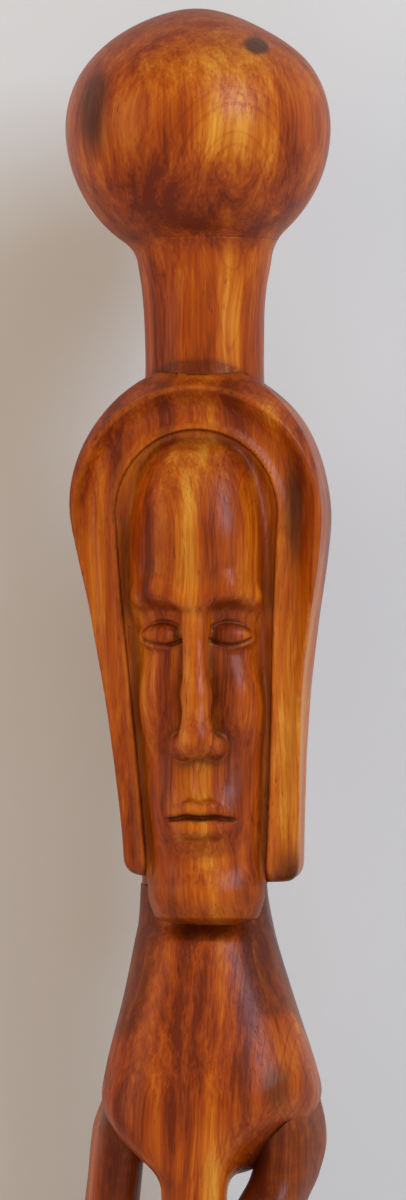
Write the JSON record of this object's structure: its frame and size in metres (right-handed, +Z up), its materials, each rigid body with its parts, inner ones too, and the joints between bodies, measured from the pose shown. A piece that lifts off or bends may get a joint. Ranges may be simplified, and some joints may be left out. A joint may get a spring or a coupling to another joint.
{
  "type": "carved ancestor figure",
  "caption": "Slim carved wooden figure that stands on a round base: long face in an arched hood, ball finial on a neck post, free-standing arms and bent legs.",
  "frame": {"origin": "centre of the base's flat underside", "axes": "+Z up along the figure, -Y the way the face looks, +X the figure's own left"},
  "size_m": [0.1, 0.1, 0.4701],
  "materials": {
    "ball_wood": "oiled, satin",
    "neck_wood": "oiled, satin",
    "hood_wood": "oiled, satin",
    "face_wood": "oiled, satin",
    "body_wood": "oiled, satin",
    "base_wood": "oiled, satin",
    "dowel_wood": "raw"
  },
  "bodies": {
    "root": {"ball_knob": "ball_wood", "neck_post": "neck_wood", "hood": "hood_wood", "face_block": "face_wood", "torso": "body_wood", "right_arm": "body_wood", "left_arm": "body_wood", "hips": "body_wood", "right_leg": "body_wood", "left_leg": "body_wood", "base": "base_wood", "face_pins": "dowel_wood", "head_dowel": "dowel_wood", "arm_dowels": "dowel_wood", "hip_dowel": "dowel_wood", "leg_dowels": "dowel_wood", "foot_dowels": "dowel_wood"}
  },
  "joints": []
}
